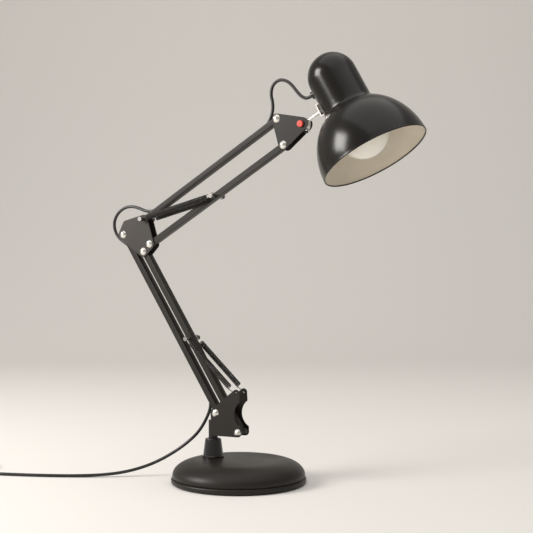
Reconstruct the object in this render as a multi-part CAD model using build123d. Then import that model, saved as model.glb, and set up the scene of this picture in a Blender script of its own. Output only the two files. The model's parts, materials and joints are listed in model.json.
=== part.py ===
from build123d import *
from math import acos, atan2, cos, degrees, pi, radians, sin, sqrt, tan
import os

os.makedirs("parts", exist_ok=True)

# Desk lamp with a round weighted base, a double parallelogram arm held up by
# four extension springs, and a bell shade on a tilting and turning joint.
# Millimetres. The origin is the middle of the base's underside, +Z is up, and
# the arm lies in the XZ plane with the shade towards +X.

# Base
base_diameter = 160.0
rim_thickness = 6.2
rim_edge_radius = 2.2
rim_lift = 0.8
rim_step = 1.5
pad_setback = 6.0
pad_thickness = 1.4
shell_wall = 1.2
base_height = 27.0
base_flat_diameter = 98.0
shoulder_height_share = 0.86
weight_edge_gap = 12.5
weight_thickness = 11.0
weight_edge_chamfer = 1.5
stem_setback = 36.0
base_screw_edge_distance = 14.0
base_screw_count = 3
base_screw_radius = 2.0
base_screw_head_radius = 3.8
base_screw_head_height = 2.2
base_screw_length = 11.0

# Stem, collar and swivel
collar_bottom_diameter = 24.4
collar_top_diameter = 19.0
collar_height = 22.4
collar_foot_height = 2.4
collar_foot_overhang = 0.7
collar_edge_radius = 0.9
stem_radius = 7.0
stem_bore_radius = 5.4
stem_nut_width = 19.0
stem_nut_height = 4.0
stem_nut_recess_gap = 0.9
bush_bore_radius = 4.05
bush_flange_radius = 7.6
bush_flange_height = 1.6
swivel_pin_radius = 4.0
swivel_pin_depth = 30.0
post_diameter = 11.0
post_height_over_collar = 22.0
post_boss_radius = 4.0
post_pin_radius = 2.0
post_pin_forward = 4.0
post_pin_lift = 9.5

# Arm: pivot places come from these lengths and angles
lower_pivot_forward = 8.8
lower_pivot_height = 81.0
lower_arm_length = 256.0
lower_arm_lean_angle = 33.0
lower_pair_spacing = 37.6
lower_pair_fall_angle = 34.7
elbow_step_forward = 31.7
elbow_step_up = 18.6
upper_arm_length = 220.0
upper_arm_rise_angle = 30.6
upper_pair_spacing = 31.9
upper_pair_fall_angle = 74.4
lower_bar_width = 7.6
upper_bar_width = 6.9
bar_depth = 9.4
bar_wall = 0.9
lower_spring_pin_share = 0.507
upper_spring_pin_share = 0.503

# Plates
bracket_inner_gap = 16.0
bracket_plate_thickness = 1.4
bracket_rear_lobe_radius = 6.8
bracket_front_lobe_radius = 5.0
bracket_ear_radius = 4.4
bracket_ear_forward = 28.8
bracket_ear_up = 25.2
bracket_bottom_height = 54.0
bracket_corner_radius = 1.2
bracket_corner_back = 3.2
bracket_waist_radius = 17.5
bracket_waist_forward = 43.6
bracket_waist_up = 0.6
ear_hole_radius = 1.3
elbow_inner_gap = 10.0
elbow_plate_thickness = 1.2
elbow_lobe_radius = 6.9
elbow_top_radius = 5.6
elbow_shoulder_radius = 5.0
elbow_shoulder_forward = 4.4
elbow_shoulder_up = 12.6
head_inner_gap = 10.0
head_plate_thickness = 1.2
head_lobe_radius = 5.9
head_tip_radius = 7.6
head_tip_forward = 1.4
plate_edge_radius = 0.25

# Rivets, washers and cross pins
rivet_radius = 2.2
rivet_head_radius = 4.7
rivet_head_height = 2.1
rivet_tail_radius = 3.6
rivet_tail_height = 1.2
rivet_fit = 0.02
pivot_clearance = 0.05
open_pivot_clearance = 0.15
washer_radius = 3.6
washer_gap = 0.05
spring_pin_radius = 1.9
spring_pin_half_length = 14.6
spring_pin_head_radius = 2.7
spring_pin_head_length = 0.9

# Springs
spring_outer_diameter = 6.8
spring_wire = 1.4
spring_side_offset = 10.8
spring_curl_count = 24
spring_hook_bend = 1.8
spring_pin_end_gap = 8.5
spring_ear_end_gap = 11.0
hook_wrap_angle = 210.0
ear_hook_reach = 4.0

# Head joint, yoke and shade
tilt_pivot_forward = 31.9
tilt_pivot_drop = 8.1
tilt_bolt_radius = 2.5
tilt_cap_radius = 4.0
tilt_cap_height = 2.6
tilt_nut_radius = 4.4
tilt_nut_height = 4.0
tilt_bush_radius = 6.8
yoke_band_wall = 1.2
yoke_band_width = 8.8
yoke_tail_length = 7.0
yoke_stud_radius = 1.3
yoke_stud_length = 2.2
rod_radius = 2.0
rod_head_radius = 3.3
rod_head_height = 1.2
twist_washer_radius = 3.8
twist_washer_height = 0.8
shade_tilt_angle = 29.7
shade_opening_radius = 63.0
shade_bell_height = 72.5
shade_neck_radius = 28.3
shade_wall = 1.0
shade_rim_bead_radius = 1.4
shade_rim_bead_inset = 1.0
shade_rim_bead_lift = 0.4
rod_reach = 57.8
shade_bracket_length = 15.6
shade_bracket_width = 13.0
shade_bracket_wall = 1.2
shade_bracket_standoff = 3.4
shade_bracket_gap = 8.9
shade_grommet_gap = 9.1
shade_dome_gap = 0.6
grommet_radius = 4.6
grommet_stand = 3.4
grommet_neck_radius = 3.2
grommet_lip = 1.0

# Lamp holder and bulb
bulb_radius = 30.0
bulb_neck_radius = 13.6
bulb_neck_drop = 48.0
bulb_globe_arc_angle = 125.0
bulb_glass_wall = 0.8
bulb_cap_radius = 13.2
bulb_cap_length = 24.0
bulb_thread_depth = 0.8
bulb_thread_pitch = 3.6
bulb_thread_count = 5
bulb_contact_radius = 4.5
bulb_contact_length = 2.2
holder_radius = 19.5
holder_bore_radius = 14.8
holder_mouth_overlap = 2.0
holder_contact_gap = 2.8
holder_roof_thickness = 6.0
holder_top_rise = 9.2
holder_lip_height = 4.0
holder_lip_radius = 21.0
mount_ring_lift = 17.0
mount_ring_wall = 1.4

# Cord
cord_diameter = 3.8
cord_bar_offset = 0.3
lower_cord_start = 38.1
lower_cord_end = 40.0
upper_cord_start = 38.0
upper_cord_end = 40.0
coil_outer_radius = 32.4
coil_layer_turn_count = 4.625
coil_turn_step = 4.3
coil_layer_step = 4.3
coil_turn_step_count = 4
plug_length = 30.0
plug_width = 34.0
plug_back_width = 15.0
plug_height = 13.6
plug_edge_radius = 2.6
plug_pin_radius = 2.0
plug_pin_length = 19.0
plug_pin_spacing = 18.6
plug_relief_length = 20.0
plug_relief_wide_radius = 4.4
plug_relief_narrow_radius = 2.8

# Working values that follow from the sizes above
cut_overrun = 5.0
fit_gap = 0.05
stem_x = -stem_setback
shell_radius = base_diameter / 2 - rim_step
pad_radius = base_diameter / 2 - pad_setback
weight_radius = shell_radius - weight_edge_gap
base_screw_ring_radius = weight_radius - base_screw_edge_distance
base_screw_top = pad_thickness + base_screw_head_height + base_screw_length
rim_top = rim_lift + rim_thickness
collar_top = base_height + collar_height
bar_half_depth = bar_depth / 2
bracket_outer_y = bracket_inner_gap / 2 + bracket_plate_thickness
elbow_outer_y = elbow_inner_gap / 2 + elbow_plate_thickness
head_outer_y = head_inner_gap / 2 + head_plate_thickness
cord_radius = cord_diameter / 2
lower_bar_size = (lower_arm_length, lower_bar_width)
upper_bar_size = (upper_arm_length, upper_bar_width)
rivet_hole = rivet_radius + pivot_clearance
open_hole = rivet_radius + open_pivot_clearance
top_pin_hole = spring_pin_radius + pivot_clearance

# Heights inside the shade, measured up its axis from the plane of its opening
bell_meet_height = shade_bell_height * sqrt(1 - (shade_neck_radius / shade_opening_radius) ** 2)
shade_rod_height = bell_meet_height + shade_bracket_gap + shade_bracket_length / 2
shade_bracket_top = shade_rod_height + shade_bracket_length / 2
shade_grommet_height = shade_bracket_top + shade_grommet_gap + grommet_radius
shade_neck_height = shade_grommet_height + grommet_neck_radius + shade_dome_gap
holder_top_height = shade_neck_height + holder_top_rise
holder_floor_height = holder_top_height - holder_roof_thickness
bulb_cap_top = holder_floor_height - holder_contact_gap - bulb_contact_length
bulb_neck_height = bulb_cap_top - bulb_cap_length
bulb_centre_height = bulb_neck_height - bulb_neck_drop
holder_mouth_height = bulb_neck_height - holder_mouth_overlap
mount_ring_height = holder_mouth_height + mount_ring_lift


def flat(x, z):
    return Vector(x, 0, z)


def heading(angle):
    return flat(cos(radians(angle)), sin(radians(angle)))


def quarter_left(direction):
    return flat(-direction.Z, direction.X)


lower_axis = heading(90 + lower_arm_lean_angle)
lower_pair = heading(-lower_pair_fall_angle) * lower_pair_spacing
upper_axis = heading(upper_arm_rise_angle)
upper_pair = heading(-upper_pair_fall_angle) * upper_pair_spacing
pivot_a = flat(stem_x + lower_pivot_forward, lower_pivot_height)
pivot_b = pivot_a + lower_pair
pivot_c = pivot_a + lower_axis * lower_arm_length
pivot_d = pivot_c + lower_pair
pivot_e = pivot_c + flat(elbow_step_forward, elbow_step_up)
pivot_f = pivot_e + upper_pair
pivot_g = pivot_e + upper_axis * upper_arm_length
pivot_h = pivot_g + upper_pair
pivot_i = pivot_g + flat(tilt_pivot_forward, -tilt_pivot_drop)
ear = pivot_a + flat(bracket_ear_forward, bracket_ear_up)
lower_spring_pin = pivot_b + lower_axis * (lower_arm_length * lower_spring_pin_share)
upper_spring_pin = pivot_f + upper_axis * (upper_arm_length * upper_spring_pin_share)
shade_up = heading(90 + shade_tilt_angle)
shade_side = quarter_left(shade_up)
rod_direction = shade_side * -1
opening_centre = pivot_i - shade_up * shade_rod_height + rod_direction * rod_reach


def save(solid, name):
    solid.label = name
    export_step(solid, f"parts/{name}.step")


def solids_of(shape):
    return shape.solids() if len(shape.solids()) != 1 else [shape.solids()[0]]


def group(pieces):
    return Compound(children=[s for piece in pieces for s in solids_of(piece)])


def upright(x, y, z_low, z_high, radius):
    return Pos(x, y, (z_low + z_high) / 2) * Cylinder(radius, z_high - z_low)


def across(point, y_low, y_high, radius):
    middle = Pos(point.X, (y_low + y_high) / 2, point.Z)
    return middle * Rot(90, 0, 0) * Cylinder(radius, y_high - y_low)


def slab(face, y_low, y_high):
    return Pos(0, y_high, 0) * extrude(Plane.XZ * face, amount=y_high - y_low)


def band_outline(circles):
    """Closed outline round circles (x, z, radius), given anticlockwise, joined by tangents."""
    edges = []
    touches = []
    count = len(circles)
    for i in range(count):
        x1, z1, r1 = circles[i]
        x2, z2, r2 = circles[(i + 1) % count]
        span = sqrt((x2 - x1) ** 2 + (z2 - z1) ** 2)
        out = atan2(z2 - z1, x2 - x1) - acos((r1 - r2) / span)
        leave = Vector(x1 + r1 * cos(out), z1 + r1 * sin(out))
        meet = Vector(x2 + r2 * cos(out), z2 + r2 * sin(out))
        touches.append((leave, meet, out))
    for i in range(count):
        x, z, r = circles[i]
        arrive, start = touches[i - 1][1], touches[i - 1][2]
        depart, end = touches[i][0], touches[i][2]
        turn = (end - start) % (2 * pi)
        middle = start + turn / 2
        edges.append(ThreePointArc(arrive, Vector(x + r * cos(middle), z + r * sin(middle)), depart))
        edges.append(Line(depart, touches[i][1]))
    return make_face(edges)


def lobe(point, radius):
    return (point.X, point.Z, radius)


def softened(plate):
    """Rounds the long edges of a plate's two faces, as stamping and coating leave them."""
    flats = plate.faces().filter_by(Axis.Y).sort_by(Axis.Y)
    return fillet(flats[0].edges() + flats[-1].edges(), plate_edge_radius)


def turned(profile, place):
    """A profile of (radius, height) points spun about the local +Z of a place."""
    return place * revolve(Plane.XZ * make_face(Polyline(*profile, close=True)), Axis.Z)


def tube(path, radius):
    start = Plane(origin=path @ 0, z_dir=path % 0)
    return sweep(start * Circle(radius), path=path)


def biarc(p0, t0, p1, t1):
    """Two arcs that leave p0 along t0 and reach p1 along t1, with one tangent where they meet."""
    span = p1 - p0
    both = span.dot(t0 + t1)
    bend = 2 * (1 - t0.dot(t1))
    if bend < 1e-9:
        reach = span.dot(span) / (2 * both)
    else:
        reach = (-both + sqrt(both * both + bend * span.dot(span))) / bend
    lead = p0 + t0 * reach
    trail = p1 - t1 * reach
    middle = (lead + trail) / 2
    first = Edge.make_tangent_arc(p0, t0, middle)
    second = Edge.make_tangent_arc(middle, (trail - lead).normalized(), p1)
    return [first, second]


def least_gap(edges, diameter, apart):
    """Smallest gap between stretches of one tube that are further apart than a length along it."""
    points = []
    walked = 0
    for edge in edges:
        for share in (0, 0.25, 0.5, 0.75):
            points.append((edge @ share, walked + edge.length * share))
        walked += edge.length
    gaps = []
    for i, (here, here_at) in enumerate(points):
        gaps += [(here - there).length for there, there_at in points[i + 1 :] if there_at - here_at > apart]
    return min(gaps) - diameter


def rounded_route(points):
    """A cord's route: straight runs joined by the largest arcs that its runs allow."""
    places = [Vector(*p) for p in points]
    radii = []
    for before, here, after in zip(places, places[1:], places[2:]):
        arriving, leaving = here - before, after - here
        shorter = min(arriving.length, leaving.length)
        turn = radians(arriving.get_angle(leaving))
        radii.append(0.45 * shorter / tan(turn / 2))
    return FilletPolyline(*places, radius=radii), radii


def cord_tube(points, name):
    route, radii = rounded_route(points)
    solid = tube(route, cord_radius)
    wanted = pi * cord_radius ** 2 * route.length
    turns = " ".join(f"{r:.0f}" for r in radii)
    print(f"{name}: length {route.length:.1f}, radii {turns}, volume ratio {solid.volume / wanted:.5f}")
    return solid


# Base: a dished steel shell over a cast iron disc, closed by a rim plate with a foam pad
def shell_profile(radius, top, flat_radius, floor):
    """Half outline of the dished cover: a flat top and one long round shoulder down to the rim."""
    shoulder = top - (top - floor) * shoulder_height_share
    arc = EllipticalCenterArc(
        center=(flat_radius, shoulder),
        x_radius=radius - flat_radius,
        y_radius=top - shoulder,
        start_angle=0,
        arc_size=90,
    )
    lines = [
        Line((0, floor), (radius, floor)),
        Line((radius, floor), (radius, shoulder)),
        arc,
        Line((flat_radius, top), (0, top)),
        Line((0, top), (0, floor)),
    ]
    return make_face(lines)


def make_base_shell():
    flat_radius = base_flat_diameter / 2
    outer_face = shell_profile(shell_radius, base_height, flat_radius, rim_top)
    inner_face = shell_profile(shell_radius - shell_wall, base_height - shell_wall, flat_radius, rim_top)
    outer = revolve(Plane.XZ * outer_face, Axis.Z)
    inner = revolve(Plane.XZ * inner_face, Axis.Z)
    stem_hole = upright(stem_x, 0, rim_top, base_height + cut_overrun, stem_radius + rivet_fit)
    return outer - inner - stem_hole


def screw_places():
    ring = base_screw_ring_radius
    angles = [2 * pi * i / base_screw_count for i in range(base_screw_count)]
    return [(ring * cos(angle), ring * sin(angle)) for angle in angles]


def make_rim_plate():
    disc = upright(0, 0, rim_lift, rim_top, base_diameter / 2)
    edge = disc.edges().filter_by(GeomType.CIRCLE).sort_by(Axis.Z)
    disc = fillet([edge[0], edge[-1]], rim_edge_radius)
    disc -= upright(0, 0, 0, pad_thickness, pad_radius)
    disc -= upright(stem_x, 0, 0, base_height, stem_radius + rivet_fit)
    disc -= upright(stem_x, 0, 0, pad_thickness + stem_nut_height, stem_nut_width / 2 + stem_nut_recess_gap)
    for x, y in screw_places():
        disc -= upright(x, y, 0, base_height, base_screw_radius + fit_gap)
        disc -= upright(x, y, 0, pad_thickness + base_screw_head_height, base_screw_head_radius + fit_gap)
    return disc


def make_weight():
    disc = upright(0, 0, rim_top, rim_top + weight_thickness, weight_radius)
    disc = chamfer(disc.edges().filter_by(GeomType.CIRCLE).sort_by(Axis.Z)[-1], weight_edge_chamfer)
    disc -= upright(stem_x, 0, 0, base_height, stem_radius + fit_gap)
    for x, y in screw_places():
        disc -= upright(x, y, 0, base_screw_top, base_screw_radius + rivet_fit)
    return disc


def make_base_screws():
    screws = []
    for x, y in screw_places():
        head = upright(x, y, pad_thickness, pad_thickness + base_screw_head_height, base_screw_head_radius)
        screws.append(head + upright(x, y, pad_thickness, base_screw_top, base_screw_radius))
    return group(screws)


def make_stem_tube():
    bottom = pad_thickness
    stem = upright(stem_x, 0, bottom, collar_top - bush_flange_height, stem_radius)
    return stem - upright(stem_x, 0, 0, collar_top, stem_bore_radius)


def make_stem_nut():
    hexagon = RegularPolygon(radius=stem_nut_width / 2, side_count=6)
    nut = Pos(stem_x, 0, pad_thickness) * extrude(hexagon, amount=stem_nut_height)
    return nut - upright(stem_x, 0, 0, base_height, stem_radius + rivet_fit)


def make_collar():
    foot = collar_bottom_diameter / 2 + collar_foot_overhang
    shoulder = collar_bottom_diameter / 2
    top = collar_top_diameter / 2
    profile = Polyline(
        (0, base_height),
        (foot, base_height),
        (foot, base_height + collar_foot_height - collar_foot_overhang),
        (shoulder, base_height + collar_foot_height),
        (top, collar_top),
        (0, collar_top),
        close=True,
    )
    collar = Pos(stem_x, 0, 0) * revolve(Plane.XZ * make_face(profile), Axis.Z)
    collar = fillet(collar.edges().filter_by(GeomType.CIRCLE).sort_by(Axis.Z)[-1], collar_edge_radius)
    collar -= upright(stem_x, 0, 0, collar_top, stem_radius + fit_gap)
    seat = collar_top - bush_flange_height
    return collar - upright(stem_x, 0, seat, collar_top + cut_overrun, bush_flange_radius + fit_gap)


def make_swivel_bush():
    seat = collar_top - bush_flange_height
    sleeve = upright(stem_x, 0, collar_top - swivel_pin_depth, collar_top, stem_bore_radius - rivet_fit)
    flange = upright(stem_x, 0, seat, collar_top, bush_flange_radius)
    return sleeve + flange - upright(stem_x, 0, 0, collar_top + cut_overrun, bush_bore_radius)


# Swivel bracket: a turned post between two stamped plates that carry both lower pivots
def post_pin_place():
    return flat(stem_x + post_pin_forward, collar_top + post_pin_lift)


def make_swivel_post():
    floor = collar_top + fit_gap
    half_gap = bracket_inner_gap / 2
    pin = upright(stem_x, 0, collar_top - swivel_pin_depth + fit_gap, floor, swivel_pin_radius)
    post = upright(stem_x, 0, floor, collar_top + post_height_over_collar, post_diameter / 2)
    boss = across(post_pin_place(), -half_gap, half_gap, post_boss_radius)
    bore = across(post_pin_place(), -bracket_inner_gap, bracket_inner_gap, post_pin_radius + rivet_fit)
    return pin + post + boss - bore


def bracket_face():
    """Outline of a bracket plate: two pivot lobes, the spring ear and a hollow front edge."""
    bottom = bracket_bottom_height + bracket_corner_radius
    corner = pivot_a.X - bracket_corner_back
    outline = band_outline(
        [
            lobe(flat(corner, bottom), bracket_corner_radius),
            lobe(pivot_b, bracket_front_lobe_radius),
            lobe(ear, bracket_ear_radius),
            lobe(pivot_a, bracket_rear_lobe_radius),
        ]
    )
    waist = pivot_a + flat(bracket_waist_forward, bracket_waist_up)
    return outline - Pos(waist.X, waist.Z) * Circle(bracket_waist_radius)


def make_bracket_plate(side):
    inner = side * bracket_inner_gap / 2
    outer = side * bracket_outer_y
    plate = softened(slab(bracket_face(), min(inner, outer), max(inner, outer)))
    reach = bracket_outer_y + cut_overrun
    for pivot in (pivot_a, pivot_b):
        plate -= across(pivot, -reach, reach, rivet_radius + rivet_fit)
    plate -= across(post_pin_place(), -reach, reach, post_pin_radius + rivet_fit)
    return plate - across(ear, -reach, reach, ear_hole_radius)


def make_post_pin():
    """A pin pressed through both plates and the post, flush with the plates' outer faces."""
    return across(post_pin_place(), -bracket_outer_y, bracket_outer_y, post_pin_radius)


def dome(point, y_face):
    """A low domed rivet head on the plate's front face, flattened to a short rim at its edge."""
    ball_radius = (rivet_head_radius ** 2 + rivet_head_height ** 2) / (2 * rivet_head_height)
    centre = Pos(point.X, y_face - rivet_head_height + ball_radius, point.Z)
    rim = across(point, y_face - 2 * rivet_head_height, y_face, rivet_head_radius)
    return (centre * Sphere(ball_radius)) & rim


def make_rivets(points, outer_y):
    rivets = []
    for point in points:
        shank = across(point, -outer_y - fit_gap, outer_y + fit_gap, rivet_radius)
        tail = across(point, outer_y, outer_y + rivet_tail_height, rivet_tail_radius)
        tail = fillet(tail.edges().filter_by(GeomType.CIRCLE).sort_by(Axis.Y)[-1], rivet_tail_height * 0.6)
        rivets.append(shank + dome(point, -outer_y) + tail)
    return group(rivets)


def make_washers(points, inner_gap, pin_radius):
    """One washer each side of every bar, between the bar and the plate."""
    rings = []
    low, high = bar_half_depth + washer_gap, inner_gap / 2
    for point in points:
        for side in (-1, 1):
            y_low, y_high = sorted((side * low, side * high))
            ring = across(point, y_low, y_high, washer_radius)
            rings.append(ring - across(point, y_low - fit_gap, y_high + fit_gap, pin_radius + rivet_fit))
    return rings


# Arm bars: folded steel channels with rounded ends
def bar_place(start, axis):
    angle = degrees(atan2(axis.Z, axis.X))
    return Pos(start.X, 0, start.Z) * Rot(0, -angle, 0)


def make_bar(start, axis, length, width, start_hole, end_hole, pin_share=0):
    half = width / 2
    outline = band_outline([(0, 0, half), (length, 0, half)])
    body = slab(outline, -bar_half_depth, bar_half_depth)
    floor, ceiling = bar_wall - half, half + cut_overrun
    middle = Pos(length / 2, 0, (floor + ceiling) / 2)
    hollow = middle * Box(length + 2 * width, bar_depth - 2 * bar_wall, ceiling - floor)
    bar = body - hollow
    reach = bar_half_depth + cut_overrun
    bar -= across(flat(0, 0), -reach, reach, start_hole)
    bar -= across(flat(length, 0), -reach, reach, end_hole)
    if pin_share:
        bar -= across(flat(length * pin_share, 0), -reach, reach, spring_pin_radius + rivet_fit)
    return bar_place(start, axis) * bar


def make_spring_pin(point):
    shank = across(point, -spring_pin_half_length, spring_pin_half_length, spring_pin_radius)
    heads = []
    for side in (-1, 1):
        tip = side * spring_pin_half_length
        base = tip - side * spring_pin_head_length
        heads.append(across(point, min(tip, base), max(tip, base), spring_pin_head_radius))
    return shank + heads[0] + heads[1]


# Springs: one wire each, a hook, the curls, and a second hook
spring_mean_radius = (spring_outer_diameter - spring_wire) / 2


def curl_point(origin, along, across_way, side_way, s, angle, pitch):
    turn = radians(angle)
    ring = across_way * (spring_mean_radius * cos(turn)) + side_way * (spring_mean_radius * sin(turn))
    place = origin + along * s + ring
    sweep_way = across_way * (-spring_mean_radius * sin(turn)) + side_way * (spring_mean_radius * cos(turn))
    return place, (sweep_way + along * (pitch / (2 * pi))).normalized()


def spring_path(hook_pin, far_end, far_is_pin):
    """Wire of a spring: hook round a pin, curls, and a hook round a pin or through an ear."""
    straight = (far_end - hook_pin).normalized()
    shifted = far_end if far_is_pin else far_end - quarter_left(straight) * spring_mean_radius
    along = (shifted - hook_pin).normalized()
    rise = quarter_left(along)
    side = Vector(0, -1, 0)
    span = (shifted - hook_pin).length
    origin = hook_pin - Vector(0, spring_side_offset, 0)
    bend = spring_hook_bend
    near = origin - side * bend
    far = origin + side * bend
    coil_end = span - (spring_pin_end_gap if far_is_pin else spring_ear_end_gap)
    pitch = (coil_end - spring_pin_end_gap) / spring_curl_count
    r = spring_mean_radius

    def hook_place(centre, angle):
        return centre + along * (r * cos(radians(angle))) + rise * (r * sin(radians(angle)))

    wrap_end = 90 + hook_wrap_angle
    edges = []
    tip = hook_place(near, wrap_end)
    tip_way = along * sin(radians(wrap_end)) - rise * cos(radians(wrap_end))
    edges.append(Edge.make_line(tip - tip_way * spring_wire, tip))
    halfway = hook_place(near, 180)
    edges.append(Edge.make_tangent_arc(tip, tip_way, halfway))
    edges.append(Edge.make_tangent_arc(halfway, rise, hook_place(near, 90)))
    lift = near + rise * r
    begin = lift + along * (spring_pin_end_gap - 2 * bend)
    edges.append(Edge.make_line(hook_place(near, 90), begin))
    place, way = curl_point(origin, along, rise, side, spring_pin_end_gap, 0, pitch)
    edges += biarc(begin, along, place, way)
    for quarter in range(1, spring_curl_count * 4 + 1):
        s = spring_pin_end_gap + pitch * quarter / 4
        following, following_way = curl_point(origin, along, rise, side, s, quarter * 90, pitch)
        edges += biarc(place, way, following, following_way)
        place, way = following, following_way
    finish = far + rise * r + along * (coil_end + 2 * bend)
    edges += biarc(place, way, finish, along)
    if far_is_pin:
        top = far + along * span
        arrive = top + rise * r
        edges.append(Edge.make_line(finish, arrive))
        turn_round = top + along * r
        edges.append(Edge.make_tangent_arc(arrive, along, turn_round))
        last_angle = 90 - hook_wrap_angle
        last = top + along * (r * cos(radians(last_angle))) + rise * (r * sin(radians(last_angle)))
        last_way = along * sin(radians(last_angle)) - rise * cos(radians(last_angle))
        edges.append(Edge.make_tangent_arc(turn_round, rise * -1, last))
        edges.append(Edge.make_line(last, last + last_way * spring_wire))
    else:
        corner = far + rise * r + along * (span - bend)
        edges.append(Edge.make_line(finish, corner))
        inward = side * -1
        into = corner + along * bend + inward * bend
        edges.append(Edge.make_tangent_arc(corner, along, into))
        edges.append(Edge.make_line(into, into + inward * ear_hook_reach))
    return edges


def make_spring(hook_pin, far_end, far_is_pin):
    edges = spring_path(hook_pin, far_end, far_is_pin)
    path = Wire(edges)
    spring = tube(path, spring_wire / 2)
    wanted = pi * (spring_wire / 2) ** 2 * path.length
    gap = least_gap(edges, spring_wire, pi * spring_mean_radius)
    ratio = spring.volume / wanted
    print(f"spring: wire {path.length:.0f} long, least gap {gap:.2f}, volume ratio {ratio:.5f}")
    return spring


# Elbow and head plates
def elbow_face():
    shoulder = pivot_c + flat(elbow_shoulder_forward, elbow_shoulder_up)
    return band_outline(
        [
            lobe(pivot_d, elbow_lobe_radius),
            lobe(pivot_f, elbow_lobe_radius),
            lobe(pivot_e, elbow_top_radius),
            lobe(shoulder, elbow_shoulder_radius),
            lobe(pivot_c, elbow_lobe_radius),
        ]
    )


def make_elbow_plate(side):
    inner, outer = side * elbow_inner_gap / 2, side * elbow_outer_y
    plate = softened(slab(elbow_face(), min(inner, outer), max(inner, outer)))
    reach = elbow_outer_y + cut_overrun
    for pivot in (pivot_c, pivot_d, pivot_f):
        plate -= across(pivot, -reach, reach, rivet_radius + rivet_fit)
    return plate - across(pivot_e, -reach, reach, spring_pin_radius + rivet_fit)


def head_face():
    tip = pivot_i + flat(head_tip_forward, 0)
    return band_outline(
        [
            lobe(pivot_h, head_lobe_radius),
            lobe(tip, head_tip_radius),
            lobe(pivot_g, head_lobe_radius),
        ]
    )


def make_head_plate(side):
    inner, outer = side * head_inner_gap / 2, side * head_outer_y
    plate = softened(slab(head_face(), min(inner, outer), max(inner, outer)))
    reach = head_outer_y + cut_overrun
    for pivot in (pivot_g, pivot_h):
        plate -= across(pivot, -reach, reach, rivet_radius + rivet_fit)
    return plate - across(pivot_i, -reach, reach, tilt_bolt_radius + rivet_fit)


def make_tilt_bolt():
    head = -head_outer_y - tilt_cap_height / 2
    return across(pivot_i, head, head_outer_y + tilt_nut_height * 0.8, tilt_bolt_radius)


def make_tilt_cap():
    cap = across(pivot_i, -head_outer_y - tilt_cap_height, -head_outer_y, tilt_cap_radius)
    cap = fillet(cap.edges().filter_by(GeomType.CIRCLE).sort_by(Axis.Y)[0], tilt_cap_height * 0.4)
    floor = -head_outer_y - tilt_cap_height / 2 - fit_gap
    return cap - across(pivot_i, floor, 0, tilt_bolt_radius + rivet_fit)


def make_tilt_nut():
    hexagon = Plane.XZ * RegularPolygon(radius=tilt_nut_radius, side_count=6)
    nut = extrude(hexagon, amount=tilt_nut_height)
    nut = Pos(pivot_i.X, head_outer_y + tilt_nut_height, pivot_i.Z) * nut
    floor = head_outer_y + tilt_nut_height * 0.8 + fit_gap
    return nut - across(pivot_i, 0, floor, tilt_bolt_radius + rivet_fit)


def make_tilt_bush():
    bush = across(pivot_i, -head_inner_gap / 2, head_inner_gap / 2, tilt_bush_radius)
    return bush - across(pivot_i, -head_outer_y, head_outer_y, tilt_bolt_radius + rivet_fit)


# Yoke: a chromed band round the tilt bush, with the rod that the shade turns on
band_bore = tilt_bush_radius + pivot_clearance
band_radius = band_bore + yoke_band_wall


def make_yoke_band():
    half = yoke_band_width / 2
    ring = across(pivot_i, -half, half, band_radius)
    tail_centre = pivot_i + flat(yoke_tail_length / 2, -(band_bore + yoke_band_wall / 2))
    tail = Pos(tail_centre.X, 0, tail_centre.Z) * Box(yoke_tail_length, yoke_band_width, yoke_band_wall)
    band = ring + tail - across(pivot_i, -half - fit_gap, half + fit_gap, band_bore)
    return band - stud_hole(rivet_fit)


def stud_place():
    return pivot_i + flat(yoke_tail_length - 2 * yoke_stud_radius, -band_radius)


def stud_hole(extra):
    place = stud_place()
    top = place.Z + yoke_band_wall + fit_gap
    return upright(place.X, 0, place.Z - yoke_stud_length, top, yoke_stud_radius + extra)


def make_yoke_stud():
    place = stud_place()
    shank = upright(place.X, 0, place.Z, place.Z + yoke_band_wall, yoke_stud_radius)
    head = upright(place.X, 0, place.Z - yoke_stud_length, place.Z, yoke_stud_radius * 1.6)
    return shank + head


def along_rod(near, far, radius):
    place = pivot_i + rod_direction * ((near + far) / 2)
    return Plane(origin=place, z_dir=rod_direction) * Cylinder(radius, far - near)


bracket_face_reach = rod_reach - shade_neck_radius - shade_bracket_standoff


def make_yoke_rod():
    inside = bracket_face_reach + shade_bracket_wall + fit_gap
    rod = along_rod(band_radius - fit_gap, inside, rod_radius)
    head = along_rod(inside, inside + rod_head_height, rod_head_radius)
    return rod + head - across(pivot_i, -yoke_band_width, yoke_band_width, band_radius)


def make_twist_washer():
    far = bracket_face_reach - fit_gap
    ring = along_rod(far - twist_washer_height, far, twist_washer_radius)
    return ring - along_rod(0, rod_reach, rod_radius + rivet_fit)


# Shade: one spun shell whose local +Z runs up from the middle of its opening
shade_place = Plane(origin=opening_centre, x_dir=Vector(0, 1, 0), z_dir=shade_up)


def shade_profile(opening, bell, neck, top_centre):
    """Half outline of the shade's bell, neck and domed top as one closed face."""
    meet_height = bell * sqrt(1 - (neck / opening) ** 2)
    meet_angle = degrees(atan2(meet_height / bell, neck / opening))
    bell_arc = EllipticalCenterArc(
        center=(0, 0), x_radius=opening, y_radius=bell, start_angle=0, arc_size=meet_angle
    )
    top_arc = CenterArc(center=(0, top_centre), radius=neck, start_angle=0, arc_size=90)
    lines = [
        Line((0, 0), (opening, 0)),
        bell_arc,
        Line((neck, meet_height), (neck, top_centre)),
        top_arc,
        Line((0, top_centre + neck), (0, 0)),
    ]
    return make_face(lines)


def neck_hole(height, radius, depth):
    """A round cutter through the neck's wall on the side that faces the arm."""
    point = opening_centre + shade_up * height + shade_side * (shade_neck_radius + depth / 2)
    return Plane(origin=point, z_dir=shade_side) * Cylinder(radius, depth * 2)


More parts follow.
